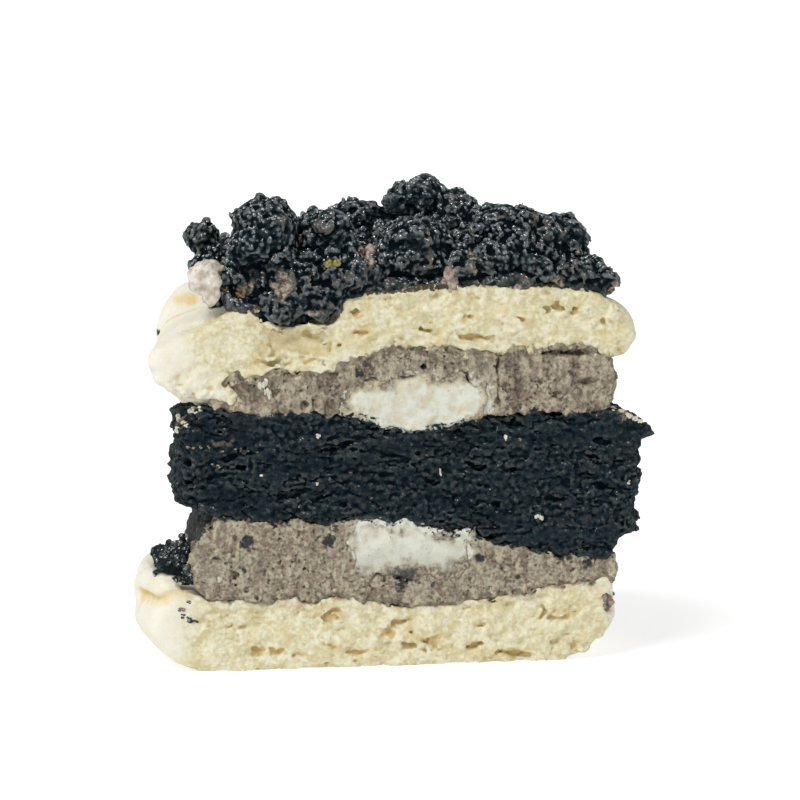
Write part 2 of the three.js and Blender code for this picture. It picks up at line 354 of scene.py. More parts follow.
def thin(piece, most):  # fewest triangles where the surface is plain
    triangles = triangleCount(piece.data)
    if triangles <= most:
        return
    modifier = piece.modifiers.new("thin", "DECIMATE")
    modifier.ratio = most / triangles
    mesh = bpy.data.meshes.new_from_object(piece.evaluated_get(bpy.context.evaluated_depsgraph_get()))
    piece.modifiers.clear()
    old, piece.data = piece.data, mesh
    bpy.data.meshes.remove(old)
    mesh.shade_smooth()


def splitLong(piece, reach):  # no edge longer than this, so that painted masks stay even
    mesh = bmesh.new()
    mesh.from_mesh(piece.data)
    bmesh.ops.triangulate(mesh, faces=[face for face in mesh.faces if len(face.verts) > 3])
    for _ in range(4):
        edges = [edge for edge in mesh.edges if edge.calc_length() > reach * mm]
        if not edges:
            break
        bmesh.ops.subdivide_edges(mesh, edges=edges, cuts=1)
        bmesh.ops.triangulate(mesh, faces=[face for face in mesh.faces if len(face.verts) > 3])
    mesh.to_mesh(piece.data)
    mesh.free()


def paint(piece, name, values):  # one number at each vertex, for the finish to read
    layer = piece.data.attributes.new(name, "FLOAT", "POINT")
    layer.data.foreach_set("value", np.asarray(values, np.float32))


pieces = {}
longestEdge = 1.0  # mm
frontDepth = 2.5  # mm behind the cut that are sampled closely


def gradedAxes(solid, step, back):  # close samples at the cut, wider ones behind it
    x, y, z = (np.arange(a[0], a[-1], step) for a in solid["axes"])
    front = y[y < cutY + frontDepth]
    return [x, np.concatenate([front, np.arange(front[-1] + back, y[-1], back)]), z]


# a piece over its solid, with relief as far as deep mm from the solid's faces and masks painted on
def carve(node, material, relief, masks, most, beside=(), warp=0, step=0.14, back=0.32, inner=17,
          swell=0.2, deep=1.1, fill=0):
    solid = solids[node]
    axes = gradedAxes(solid, step, back)
    values = refine(solid["depth"], solid["axes"], axes)

    def shape(points):
        bent = points
        if warp:  # breaks up round lumps
            bent = points + warp * np.stack([fractal(points, 4, 3, 940 + 5 * n) for n in range(3)], 1)
        depth = near(node, bent) - swell
        if fill:  # closes clefts
            depth += fill * (near(node, bent, "round") - swell - depth)
        if beside:  # edges that no neighbour covers are rounded
            free = rise(np.minimum.reduce([near(other, points) for other in beside]), 0.5, 1.7)
            depth += free * (near(node, points, "round") - swell - depth)
        # no relief deep inside, where nothing shows
        shown = np.maximum(nearCut(points, frontDepth, 4), rise(fromAxis(points), inner, inner + 2))
        work = (shown > 0) & (np.abs(depth) < deep)
        depth[work] += shown[work] * relief(points[work], depth[work])
        return depth

    band = np.nonzero(np.abs(values) < deep + 0.9)
    points = np.stack([axes[n][band[n]] for n in range(3)], 1).astype(np.float32)
    values[band] = inParts(shape, points)
    if axes[2][0] < 0:
        values = np.maximum(values, -axes[2].astype(np.float32))  # it stands flat
    places, quads = largestIsland(*netOver(values, axes))
    piece = meshObject(node, places, quads, material)
    thin(piece, most)
    splitLong(piece, longestEdge)
    places = vertexPlaces(piece.data)
    steps = np.stack([np.interp(places[:, n], axes[n], np.arange(len(axes[n]))) for n in range(3)], 1)
    filled = (values < 0).astype(np.float32)
    # the finishes paint shade in the dips from these two masks
    for name, reach in (("hollow", 0.45), ("crease", 0.25)):  # over a half in a dip, under it on a bump
        paint(piece, name, sample(blurred(filled, max(1, round(reach / step))), 0, 1, steps))
    facing = np.empty(len(places) * 3, np.float32)
    piece.data.vertex_normals.foreach_get("vector", facing)
    paint(piece, "up", rise(facing[2::3], -0.25, 0.55))
    for name, mask in masks(places).items():
        paint(piece, name, mask)
    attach(piece, "root")
    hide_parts(node)
    pieces[node] = piece
    print(f"{node}: {len(piece.data.polygons)} faces")


# shader sockets as values
class Wire:
    def __init__(self, tree, socket):
        self.tree = tree
        self.socket = socket

    def join(self, operation, first, second):
        node = self.tree.nodes.new("ShaderNodeMath")
        node.operation = operation
        plug(self.tree, node.inputs[0], first)
        plug(self.tree, node.inputs[1], second)
        return Wire(self.tree, node.outputs[0])

    def __add__(self, other):
        return self.join("ADD", self, other)

    def __radd__(self, other):
        return self.join("ADD", other, self)

    def __sub__(self, other):
        return self.join("SUBTRACT", self, other)

    def __rsub__(self, other):
        return self.join("SUBTRACT", other, self)

    def __mul__(self, other):
        return self.join("MULTIPLY", self, other)

    def __rmul__(self, other):
        return self.join("MULTIPLY", other, self)


def plug(tree, socket, value):
    if isinstance(value, Wire):
        tree.links.new(value.socket, socket)
    else:
        socket.default_value = value


litShare = 0.8  # share of the seen colour that a surface has, as the studio's light adds the rest


def srgb(*levels):  # a colour as seen on screen, 0 to 255
    share = [v / 255 for v in levels]
    light = [v / 12.92 if v <= 0.04045 else ((v + 0.055) / 1.055) ** 2.4 for v in share]
    return tuple(litShare * v for v in light) + (1,)


class Finish:
    def __init__(self, name, **constants):
        self.material = bpy.data.materials.new(name)
        self.material.use_nodes = True
        self.tree = self.material.node_tree
        self.shader = self.tree.nodes["Principled BSDF"]
        for socket, value in constants.items():
            self.shader.inputs[socket.replace("_", " ")].default_value = value

    def node(self, kind, settings=None, sockets=None, output=0):
        node = self.tree.nodes.new(kind)
        for name, value in (settings or {}).items():
            setattr(node, name, value)
        for socket, value in (sockets or {}).items():
            plug(self.tree, node.inputs[socket], value)
        return Wire(self.tree, node.outputs[output])

    def mask(self, name):
        return self.node("ShaderNodeAttribute", {"attribute_name": name}, output="Fac")

    def place(self, stretch):
        spot = self.node("ShaderNodeTexCoord", output="Object")
        return self.node("ShaderNodeMapping", None, {"Vector": spot, "Scale": stretch})

    def grain(self, size, detail=2, stretch=(1, 1, 1)):  # noise from 0 to 1, size in mm
        sockets = {"Vector": self.place(stretch), "Scale": 1 / (size * mm), "Detail": detail}
        return self.node("ShaderNodeTexNoise", None, sockets, "Fac")

    def spots(self, size, output="Distance"):  # seeded points, size mm apart
        sockets = {"Vector": self.place((1, 1, 1)), "Scale": 1 / (size * mm)}
        return self.node("ShaderNodeTexVoronoi", None, sockets, output)

    def step(self, value, start, end):
        settings = {"interpolation_type": "SMOOTHSTEP"}
        sockets = {"Value": value, "From Min": start, "From Max": end}
        return self.node("ShaderNodeMapRange", settings, sockets)

    def share(self, name, spread, size, start=-0.25, end=0.25, detail=4):  # a mask with a ragged edge
        return self.step(self.mask(name) + spread * (self.grain(size, detail) - 0.5), start, end)

    def blend(self, share, first, second):
        sockets = {0: share, 6: first, 7: second}
        return self.node("ShaderNodeMix", {"data_type": "RGBA"}, sockets, 2)

    def layers(self, colour, *coats):  # each coat is a share and a colour
        for share, cover in coats:
            colour = self.blend(share, colour, cover)
        return colour

    def bump(self, height, reach):  # reach in mm
        sockets = {"Height": height, "Distance": reach * mm, "Strength": 1.0}
        return self.node("ShaderNodeBump", None, sockets)

    def feed(self, socket, wire):
        plug(self.tree, self.shader.inputs[socket], wire)

    def shine(self, share, **sockets):  # a second, glossy shader where share is 1
        sockets = {name.replace("_", " "): value for name, value in sockets.items()}
        glossy = self.node("ShaderNodeBsdfPrincipled", None, sockets)
        matte = Wire(self.tree, self.shader.outputs[0])
        both = self.node("ShaderNodeMixShader", None, {0: share, 1: matte, 2: glossy})
        plug(self.tree, self.tree.nodes["Material Output"].inputs["Surface"], both)


def softFinish(name, roughness, weight, radius):  # light goes a little way in
    return Finish(name, Roughness=roughness, Specular_IOR_Level=0.25, Subsurface_Weight=weight,
                  Subsurface_Scale=mm, Subsurface_Radius=radius)


# almond shell: fine crumb where it is cut, a smooth pale skin elsewhere
shellLook = {
    "skin": srgb(246, 243, 226),
    "skinWarm": srgb(240, 231, 202),
    # painted shade: yellow-orange for the skin's creases and the crease line, where shade falls
    "crease": srgb(236, 206, 132),
    "crumbLight": srgb(241, 237, 210),
    "crumbDark": srgb(215, 204, 160),
    "warm": srgb(224, 205, 150),
    # painted shade: ochre and darker tan for the crumb's dips and pockets
    "ochreShade": srgb(218, 199, 146),
    "poreShade": srgb(206, 180, 124),
    "cream": srgb(150, 138, 120),
    "stain": srgb(178, 138, 118),
    # a thin brown glue line at the crumble's foot, darkened as the crumble's painted shadow
    "glueShadow": srgb(50, 38, 31),
    # painted shade: darker tan for the floor of the broken-out recess
    "floor": srgb(222, 205, 158),
    "clump": srgb(8, 20, 26),
}


def shellFinish():
    look = shellLook
    f = softFinish("almondShell", 0.75, 0.15, (1.0, 0.8, 0.5))
    hollow = f.mask("hollow")
    pocketShade = f.mask("pocketShade")
    fine = f.grain(0.5, 4) - 0.5
    mottle = 0.3 * f.grain(2.4, 4) + 0.35 * f.grain(1.0, 4) + 0.35 * f.grain(0.4, 3)
    crumb = f.layers(
        look["crumbDark"],
        (f.step(mottle, 0.4, 0.58), look["crumbLight"]),
        (0.5 * f.step(f.grain(2.8, 6), 0.5, 0.68), look["warm"]),
        # painted shade: ochre and darker tan where the crumb dips and in its pockets
        (f.step(hollow + 0.26 * pocketShade + 0.3 * fine, 0.5, 0.74), look["ochreShade"]),
        (f.step(hollow + 0.34 * pocketShade + 0.3 * fine, 0.62, 0.94), look["poreShade"]),
        # painted shade on the recess floor
        (0.6 * f.share("floor", 2.2, 0.9, 0.3, 0.8, 5), look["floor"]),
    )
    skin = f.layers(
        look["skin"],
        (0.65 * f.step(f.grain(3.4, 5), 0.46, 0.66), look["skinWarm"]),
        # painted shade: yellow-orange in the skin's creases
        (f.step(hollow + 0.3 * (f.grain(3, 2) - 0.5), 0.53, 0.7), look["crease"]),
    )
    colour = f.layers(
        crumb,
        (f.mask("skin"), skin),
        # painted shade: yellow-orange along the crease line and beside the crack
        (0.8 * f.share("seamShade", 1.4, 1.6, 0.25, 0.9), look["crease"]),
        (0.8 * f.share("cream", 4.5, 0.9), look["cream"]),
        (0.7 * f.share("stain", 4, 1.5, 0.6, 1.3, 5), look["stain"]),
        # glue line under the crumble, darkened as its painted shadow
        (0.95 * f.share("glueShadow", 3.2, 0.5, 0.3, 0.9, 5), look["glueShadow"]),
        (f.mask("clump"), look["clump"]),
    )
    f.feed("Base Color", colour)
    f.feed("Normal", f.bump(0.6 * f.grain(0.35, 4) + 0.5 * f.grain(1.1, 4), 0.16))
    return f.material


def pocketSpread(points, pockets):  # ragged patches, near the cut only
    across = points[:, 0] + 0.8 * fractal(points, 1.6, 3, 13)
    height = points[:, 2] + 0.45 * fractal(points, 1.2, 3, 14)
    return patches(across, height, pockets) * nearCut(points, 1.4, 2.4)


def crumbRelief(points, shape):  # soft lumps and ragged pockets of a cut shell
    torn = fractal(stretched(points, 0.75, 1, 1.15), 1.2, 4, 11, 0.6)
    holes = rise(0.7 * torn + 1.4 * pocketSpread(points, shape["pockets"]), 0.45, 1.75)
    lumps = 0.26 * grains(stretched(points, 0.85, 1, 1.15), 0.9, 16) + 0.16 * grains(points, 1.8, 18)
    lumps = lumps + 0.3 * grains(points, 0.5, 19)
    return shape["pores"] * holes + 0.22 * torn + lumps + 0.14 * noise(points, 2.6, 17)


def skinRelief(points, seed):
    return 0.18 * noise(points, 4.5, seed) + 0.035 * fractal(points, 1.3, 2, seed + 1)


def groove(points, start, end, width):  # along a line as seen from the front: x, z at both ends
    start, end = np.array(start, np.float32), np.array(end, np.float32)
    along = np.clip((points[:, [0, 2]] - start) @ (end - start) / ((end - start) @ (end - start)), 0, 1)
    away = points[:, [0, 2]] - start - along[:, None] * (end - start)
    return np.exp(-(away ** 2).sum(1) / width ** 2) * nearCut(points, 8, 12)


# lumps: middle, half sizes, and where the edge starts and ends, in half sizes
bottomShape = {
    "x": -1.5,
    "radius": 26,
    "clump": ((-24.2, -13, 12), (3.1, 2.9, 2.7), 0.85, 1.1),
    "crease": ((-27.4, 7.1), (-22.8, 9.1)),
    "pores": 0.55,
    "pockets": [  # x, z, half width, half height
        (-8.2, 5.1, 0.8, 0.9), (-7.7, 5.8, 0.8, 0.6), (-8.4, 2.5, 1, 0.5), (-16.2, 2.4, 0.9, 1),
        (-2, 3.6, 1.1, 0.6), (2, 2.7, 2.4, 0.9), (-4.6, 2, 1.3, 0.4), (-0.9, 4.6, 1.1, 0.5),
        (11.8, 1, 2.6, 0.6), (17.4, 5.4, 1, 0.8), (15.3, 5.4, 0.6, 0.4), (7.6, 1.8, 1.3, 0.5),
        (18.5, 1.5, 0.9, 0.7), (-14, 2, 1, 0.5), (9, 4.2, 0.8, 0.5),
    ],
}


def pastRim(points, shape):  # mm past the cut's rim, where the skin begins, later at the right end
    return fromAxis(points, shape["x"]) - shape["radius"] - 2.5 * rise(points[:, 0], 10, 16)


def bottomShellRelief(points, depth):
    cut = nearCut(points, 1.1, 2)
    cut = cut * (1 - rise(pastRim(points, bottomShape), -5, 0))
    skin = skinRelief(points, 21) + 0.5 * groove(points, *bottomShape["crease"], 0.6)
    relief = cut * crumbRelief(points, bottomShape) + (1 - cut) * skin
    clump = 0.35 * grains(points, 1.0, 23) + 0.15 * noise(points, 1.7, 24)
    return relief + lump(points, *bottomShape["clump"]) * (clump - relief)


def bottomShellMasks(points):
    out = pastRim(points, bottomShape) + 1.3 * noise(points, 2.4, 25)
    never = np.full(len(points), -1)
    return {
        "skin": np.maximum(rise(behindCut(points), 1.5, 2.2), rise(out, -4.6, -0.6)),
        # painted shade along the crease line
        "seamShade": 0.75 * groove(points, *bottomShape["crease"], 0.9),
        "stain": 0.9 - 2 * rise(near("lower_cream", points), 0.1, 1.8) - 2 * rise(behindCut(points), 2, 4),
        "glueShadow": never,
        "floor": never,
        "cream": within(points, "lower_cream"),
        "clump": lump(points, *bottomShape["clump"]),
        # painted shade in the pockets
        "pocketShade": 0.9 * pocketSpread(points, bottomShape["pockets"]),
    }


topShape = {
    "x": stackX,
    "radius": 26.4,
    "broken": ((-11.4, cutY + 0.6, 34.7), (5.9, 3.4, 2.8), 0.7, 1.15),
    "recess": (-11.4, 34.9, 4.7, 1.9),  # x, z, half width, half height
    "flakes": [(-12.2, 33.5, 1.2, 0.6), (-9.3, 35.7, 1.3, 0.7)],  # left standing in the recess
    "clod": ((-21.8, cutY + 1, 30.2), (3.6, 3, 2.4), 0.8, 1.1),
    "crack": (-25.6, axisY + 2),  # x and y of a place on it
    "crackFaces": (-0.45, -0.89),
    # the yellow patch is painted shade beside the crack
    "yellow": ((-22.2, axisY + 1, 39), (2, 3, 0.9)),  # a patch beside the crack
    "pores": 0.4,
    "pockets": [
        (-5.1, 37.6, 1, 0.5), (-4.7, 36, 0.9, 0.5), (2.2, 35.9, 1, 0.6), (7.3, 35.2, 1, 0.5),
        (8.7, 35.2, 0.9, 0.5), (13.3, 36.6, 0.7, 0.6), (16.2, 38.3, 1.3, 0.6), (18.7, 38, 0.9, 0.7),
        (7.2, 37, 0.7, 0.6), (21.9, 36.5, 0.7, 0.5), (-14.3, 33.1, 0.8, 0.4), (-10.4, 33.1, 1.2, 0.3),
    ],
}
glueLine = (  # x and z along the crumble's foot
    (-21.3, -18.4, -14.3, -12.2, -7.9, -6.3, -0.3, 7.2, 16.9, 22.3, 23.6),
    (39.6, 38.5, 36.9, 36.5, 37.5, 39.4, 39.6, 40.2, 40, 39.2, 38.8),
)


def underGlue(points):
    return np.interp(points[:, 0], *glueLine) - points[:, 2]


def recess(points):  # where a flake broke out of the cut, ragged
    x, z, wide, high = topShape["recess"]
    away = np.hypot((points[:, 0] - x) / wide, (points[:, 2] - z) / high)
    away = away + 0.3 * fractal(points, 1.7, 3, 39) + pocketSpread(points, topShape["flakes"])
    return (1 - rise(away, 0.8, 1.0)) * nearCut(points, 2.5, 3.5)


def crack(points, middle, width):  # a band along the crack in the upper shell's left, mm in front of it
    away = points[:, :2] - np.array(topShape["crack"], np.float32)
    front = away @ np.array(topShape["crackFaces"], np.float32)
    return hill(front, middle, width) * (1 - rise(points[:, 0], -20, -16)) * rise(points[:, 2], 33, 35)


def topShellRelief(points, depth):
    cut = nearCut(points, 1.1, 2)
    hole = recess(points)
    cut = np.maximum(cut * (1 - rise(pastRim(points, topShape), -4, 0)), 0.8 * hole)
    flap = 1 - rise(points[:, 0], -23, -15)  # smoother than the rest
    skin = skinRelief(points, 31) + 0.7 * crack(points, 0, 0.5) - 0.4 * crack(points, -1.9, 1.5)
    relief = cut * (1 - 0.6 * flap) * crumbRelief(points, topShape) + (1 - cut) * skin
    clod = 0.3 * fractal(points, 1.5, 3, 36) + 0.4 * grains(points, 1.1, 38)
    floor = 0.35 - 1.2 * rise(behindCut(points), 0.4, 1.6)
    floor = floor + 0.4 * fractal(points, 1.6, 4, 37) + 0.35 * grains(points, 0.8, 19)
    broken = 0.3 * fractal(points, 2.0, 4, 35) + 0.2 * grains(points, 0.9, 34)
    relief = relief + lump(points, *topShape["clod"]) * clod + hole * floor
    return relief + lump(points, *topShape["broken"]) * broken


def topShellMasks(points):
    out = pastRim(points, topShape) + 1.3 * noise(points, 2.4, 33)
    skin = np.maximum(rise(behindCut(points), 1.5, 2.2), rise(out, -4, -0.4))
    clod = lump(points, *topShape["clod"])
    broken = lump(points, *topShape["broken"])
    return {
        "skin": np.maximum(skin * (1 - broken) * (1 - clod), 0.7 * clod),
        # painted shade: a yellow-orange patch beside the crack
        "seamShade": 1.2 * lens(points, *topShape["yellow"]) - 0.2,
        "stain": np.full(len(points), -1),
        # glue line under the crumble, darkened as its painted shadow
        "glueShadow": 0.9 - 2 * rise(underGlue(points), -0.6, 0.3) - 2 * rise(behindCut(points), 2, 4),
        # painted shade on the recess floor
        "floor": recess(points),
        "cream": within(points, "upper_cream"),
        "clump": np.zeros(len(points)),
        # painted shade in the pockets
        "pocketShade": 0.9 * pocketSpread(points, topShape["pockets"]),
    }


# speckled buttercream, torn and smeared by the knife
creamLook = {
    "light": srgb(192, 184, 160),
    # middle and deep: painted shade where the cream dips; deep also gives random dark blotches and painted
    # shade at the shells' joint
    "middle": srgb(154, 144, 124),
    "pink": srgb(138, 118, 104),
    "deep": srgb(82, 70, 61),
    "speck": srgb(28, 37, 43),
    "white": srgb(222, 223, 208),
    "shell": srgb(222, 212, 174),
}


creamShape = {
    "line": 10.4,  # x of a knife mark in the upper layer
    "pocket": ((19.9, cutY, 30.2), (0.8, 1.3, 0.4)),
    "cleft": ((16.5, cutY, 33.3), (2.8, 1.6, 0.35)),
    "bulge": ((20.5, cutY, 29.4), (0.8, 0.8, 0.4)),
    "crumbs": [  # black ones set in the cut: x, z, radius
        (-16.8, 14, 0.8), (-8.2, 13.8, 0.9), (-0.3, 9.7, 1.2), (17.4, 11.7, 0.9), (20.1, 10.6, 0.7),
        (-19.7, 12.1, 0.35), (-17, 10.7, 0.35), (8.2, 11.6, 0.5), (12.4, 9.4, 0.4), (-12.6, 30.9, 0.4),
        (-4.8, 31.6, 0.4),
    ],
}
bothCentres = ("lower_centre", "upper_centre")


def creamFinish():
    look = creamLook
    f = softFinish("speckledCream", 0.75, 0.1, (0.8, 0.6, 0.4))
    streak = (0.3 + 0.5 * f.mask("high")) * (f.grain(1.6, 5, (1, 1, 0.35)) - 0.5)
    blotch = (0.12 + 0.4 * f.mask("high")) * f.step(f.grain(2.2, 6), 0.5, 0.64)
    # height rises where the surface dips, for painted shade
    height = 0.75 * f.mask("crease") + 0.12 + 0.8 * (f.grain(0.35, 4) - 0.5) + streak
    colour = f.layers(
        look["light"],
        # painted shade in the dips
        (f.step(height, 0.36, 0.56), look["middle"]),
        (0.6 * f.step(f.grain(0.9, 5, (1, 1, 0.7)), 0.48, 0.62), look["pink"]),
        (blotch, look["deep"]),
        (0.6 * f.step(f.grain(0.6, 5), 0.55, 0.68), look["light"]),
        # deeper painted shade in the deepest dips
        (0.9 * f.step(height, 0.54, 0.74), look["deep"]),
        (0.7 * f.step(f.grain(0.7, 5), 0.64, 0.7), look["speck"]),
        (f.share("shell", 5.0, 0.9), look["shell"]),
        # painted shade at the joint with the shells
        (0.6 * f.share("joint", 1.6, 1.2, 0.4, 0.9), look["deep"]),
        (f.share("white", 4.0, 0.6), look["white"]),
        (0.92 * f.share("chunk", 2.4, 0.5, 0.3, 0.9, 5), look["speck"]),
        (f.share("cake", 2.6, 0.6), look["speck"]),
    )
    f.feed("Base Color", colour)
    f.feed("Normal", f.bump(f.grain(0.35, 5), 0.26))
    return f.material


def creamRelief(points, depth):
    cut = nearCut(points, 0.5, 1.4)
    streaks = 0.16 * fractal(stretched(points, 1, 1, 0.2), 0.8, 3, 41)
    tufts = 0.24 * fractal(points, 1.0, 4, 42, 0.7) + 0.12 * grains(points, 0.6, 45)
    line = 0.22 * hill(points[:, 0] + 0.5 * noise(points, 2, 46), creamShape["line"], 0.12)
    line = line * rise(points[:, 2], 26.5, 27.5)
    pocket = 0.8 * rise(fractal(points, 1.5, 4, 48), 0.75, 1.2) + 1.1 * lens(points, *creamShape["pocket"])
    cleft = lens(points, *creamShape["cleft"]) * (0.8 + 0.7 * noise(points, 1.4, 53))
    bulge = 0.4 * lens(points, *creamShape["bulge"])
    chunk = np.maximum(marks(points), coat(points)) * (0.5 * grains(points, 0.6, 49) - 0.1)
    side = (1 - cut) * (0.4 + 0.25 * noise(points, 3.2, 44))
    return cut * (streaks + line) + tufts + pocket + cleft + chunk + side - bulge


def coat(points):  # cake that hangs over the cream's left edge
    under = 14 + 1.1 * (np.maximum(points[:, 0], -22.6) + 22.4) - points[:, 2]
    under = under - 0.17 * np.clip(behindCut(points), 0, 12)  # lower on the side than on the cut
    hung = 1 - rise(under + 0.5 * fractal(points, 1.4, 3, 50), -0.4, 0.5)
    hung = hung * (1 - rise(points[:, 0], -20.6, -18.6)) * nearCut(points, 22, 26)
    return hung * (points[:, 2] < 20)


def marks(points):  # black crumbs set in the cut
    mark = np.zeros(len(points), np.float32)
    for x, z, reach in creamShape["crumbs"]:
        away = np.hypot(points[:, 0] - x, points[:, 2] - z) + 0.6 * reach * fractal(points, 1.1, 2, 47)
        mark = np.maximum(mark, 1 - rise(away, 0.1 * reach, 1.5 * reach))
    return mark * nearCut(points, 0.8, 1.6)


def creamMasks(points):
    joint = np.minimum(near("bottom_shell", points), near("top_shell", points))
    return {
        "chunk": np.maximum(marks(points), 1.4 * coat(points)),
        "cake": within(points, "cake_slab"),
        "white": within(points, *bothCentres) - 3 * (1 - rise(points[:, 2], 10.6, 11.8)),
        "shell": within(points, "bottom_shell", "top_shell"),
        # painted shade near the shells
        "joint": 0.9 - rise(joint, 0.2, 1.6),
        "high": rise(points[:, 2], 18, 22),
    }


# white cream centres
centreLook = {
    "white": srgb(231, 233, 219),
    "shade": srgb(220, 219, 203),
    # painted shade, darker towards the bottom of the lower centre
    "low": srgb(206, 207, 193),
    "yellow": srgb(214, 202, 164),
    "fleck": srgb(146, 118, 86),
    "cream": srgb(182, 172, 150),
    "creamDark": srgb(116, 104, 92),
    "smudge": srgb(50, 60, 66),
    "cake": srgb(24, 32, 36),
}


centreShape = {"foot": 11.6, "smudge": ((0.2, cutY, 10), (1.5, 2, 1.1))}


def centreFinish():
    look = centreLook
    f = softFinish("whiteCream", 0.7, 0.2, (1.2, 1, 0.7))
    height = f.mask("crease") + 0.25 * (f.grain(0.6, 4) - 0.5)
    fleck = f.step(0.1 + 0.05 * f.mask("rim") - f.spots(1.1), 0, 0.06)
    speckle = f.blend(f.step(f.grain(0.35, 5), 0.36, 0.64), look["creamDark"], look["cream"])
    colour = f.layers(
        look["white"],
        (f.step(height, 0.46, 0.58), look["shade"]),
        # painted shade towards the bottom
        (0.8 * f.mask("low"), look["low"]),
        (0.7 * f.share("tint", 3, 1.8, 0.2, 1.0), look["yellow"]),
        (f.mask("aged") * f.share("rim", 4, 1.4, -0.2, 0.9, 5), look["yellow"]),
        (0.75 * fleck, look["fleck"]),
        (f.share("rim", 3.4, 1.2, 0.3, 1.5, 6), speckle),
        (0.85 * f.share("smudge", 1.2, 0.6, 0.25, 0.8, 5), look["smudge"]),
        (f.share("cake", 3.6, 0.5), look["cake"]),
    )
    f.feed("Base Color", colour)
    f.feed("Normal", f.bump(f.grain(0.3, 5), 0.14))
    return f.material


def centreRelief(points, depth):
    side = 1 - rise(within(points, *bothCentres), 0.2, 1.0)  # ragged where it meets the cream
    return 0.24 * fractal(points, 1.9, 4, 51, 0.5) + 0.55 * side * fractal(points, 1.7, 3, 54)


def centreMasks(points):
    rim = 1.4 - within(points, *bothCentres) - 2 * (1 - rise(near("cake_slab", points), 0.2, 1.2))
    foot = centreShape["foot"] + 0.07 * points[:, 0] + 0.5 * noise(points, 3, 52) - points[:, 2]
    return {
        "rim": np.maximum(rim, foot),  # the lower one fades out downwards
        "aged": 0.2 + 0.55 * rise(points[:, 2], 18, 22),
        "cake": within(points, "cake_slab"),
        # painted shade: darker towards the bottom
        "low": 1 - rise(points[:, 2], 10.8, 14),
        "smudge": lens(points, *centreShape["smudge"]),
        "tint": 0.9 * rise(points[:, 2], 27.6, 30.8) - rise(points[:, 0], 0, 8) - 0.3,
    }


# black cake, torn across its grain
cakeLook = {
    # dark in the creases and light on the tops: painted shade and painted light; dark also gives random
    # dark blotches
    "dark": srgb(5, 22, 30),
    "middle": srgb(33, 46, 51),
    "light": srgb(74, 80, 79),
    "brown": srgb(74, 62, 54),
    "white": srgb(200, 202, 192),
    "cream": srgb(150, 140, 122),
    "glint": 0.9,
}


def cakeFinish():
    look = cakeLook
    f = Finish("blackCake", Roughness=0.85, Specular_IOR_Level=0.08)
    height = f.mask("crease") + 0.45 * (f.grain(0.3, 5) - 0.5)
    colour = f.layers(
        look["light"],
        # painted shade: middle in the dips, with light left on the tops as painted light
        (f.step(height, 0.28, 0.5), look["middle"]),
        (0.7 * f.step(f.grain(0.6, 5), 0.58, 0.72), look["brown"]),
        # painted shade: dark in the deepest creases
        (f.step(height + 0.5 * (f.mask("hollow") - 0.5), 0.46, 0.66), look["dark"]),
        (f.share("white", 3.6, 0.5), look["white"]),
        (0.8 * f.share("smear", 1.6, 0.8, 0.45, 0.75, 5), look["cream"]),
        (0.5 * f.step(f.grain(4.5, 5, (0.45, 1, 1.3)), 0.52, 0.64), look["dark"]),
    )
    f.feed("Base Color", colour)
    beads = f.spots(0.42)
    lumpy = f.bump(0.6 * f.grain(0.4, 5) - 0.6 * beads, 0.34)
    f.feed("Normal", lumpy)
    tops = f.step(0.4 - beads, 0, 0.14) * f.step(0.5 - height, 0, 0.08)
    tops = look["glint"] * (tops * f.step(f.grain(1.2, 3), 0.45, 0.6)) * f.mask("up")
    f.shine(tops, Base_Color=colour, Roughness=0.2, IOR=1.9, Specular_IOR_Level=1.0, Normal=lumpy)
    return f.material


def cakeRelief(points, depth):
    lay = stretched(points, 0.55, 0.8, 1.2)
    # smooth plates and crumbly stretches
    rough = 0.5 + 0.5 * rise(noise(stretched(points, 0.6, 1, 1), 3.4, 67), -0.5, 0.4)
    split = np.abs(fractal(lay, 2.1, 4, 61, 0.6)) + 0.1 * rough
    torn = fractal(lay, 1.5, 4, 64, 0.6)
    beads = 0.5 * grains(points, 0.75, 63) + 0.3 * grains(points, 2.1, 62)
    fissures = 0.5 * (1 - rise(split, 0.02, 0.2)) + 0.7 * rise(torn, 0.55, 1.05)
    plates = 0.3 * fractal(lay, 4.2, 2, 68)
    return plates + fissures + 0.25 * torn + rough * (beads + 0.16 * fractal(points, 0.6, 2, 66))


cakeSmears = [
    (24.6, 26.4, 2.4, 0.8), (-23.6, 26.8, 0.9, 1.6), (-19.6, 24.4, 3.2, 0.5), (21.8, 27.4, 1.6, 0.6),
]


def cakeMasks(points):
    smear = 0.7 * patches(points[:, 0], points[:, 2], cakeSmears)
    return {
        "white": within(points, *bothCentres),
        "smear": smear * nearCut(points, 3, 5),
    }


# black biscuit crumble, stuck on with cream
crumbleLook = {
    # dark and middle: painted shade in the creases; light: painted light on the granules' tops
    "dark": srgb(4, 17, 23),
    "middle": srgb(32, 45, 50),
    "light": srgb(110, 117, 118),
    "dust": srgb(112, 106, 100),
    "creamLight": srgb(198, 184, 165),
    "creamDark": srgb(92, 80, 73),
    "smear": srgb(104, 103, 98),
    "glint": 1.0,
}
creamPatches = [
    (-21.3, 41.4, 2.2, 2.6), (-16.5, 40.4, 1.6, 1.4), (-12.7, 40.8, 1.6, 2.2), (-3.6, 44.1, 1.3, 1.8),
    (5.2, 41.3, 1.4, 2), (16.9, 40.8, 1.3, 1.3), (23.1, 39.6, 1.1, 1.4), (7.4, 43.2, 0.8, 2),
    (11.5, 40.3, 2.6, 0.5), (0.5, 40.2, 3, 0.5), (-9.5, 38, 2, 0.6),
]


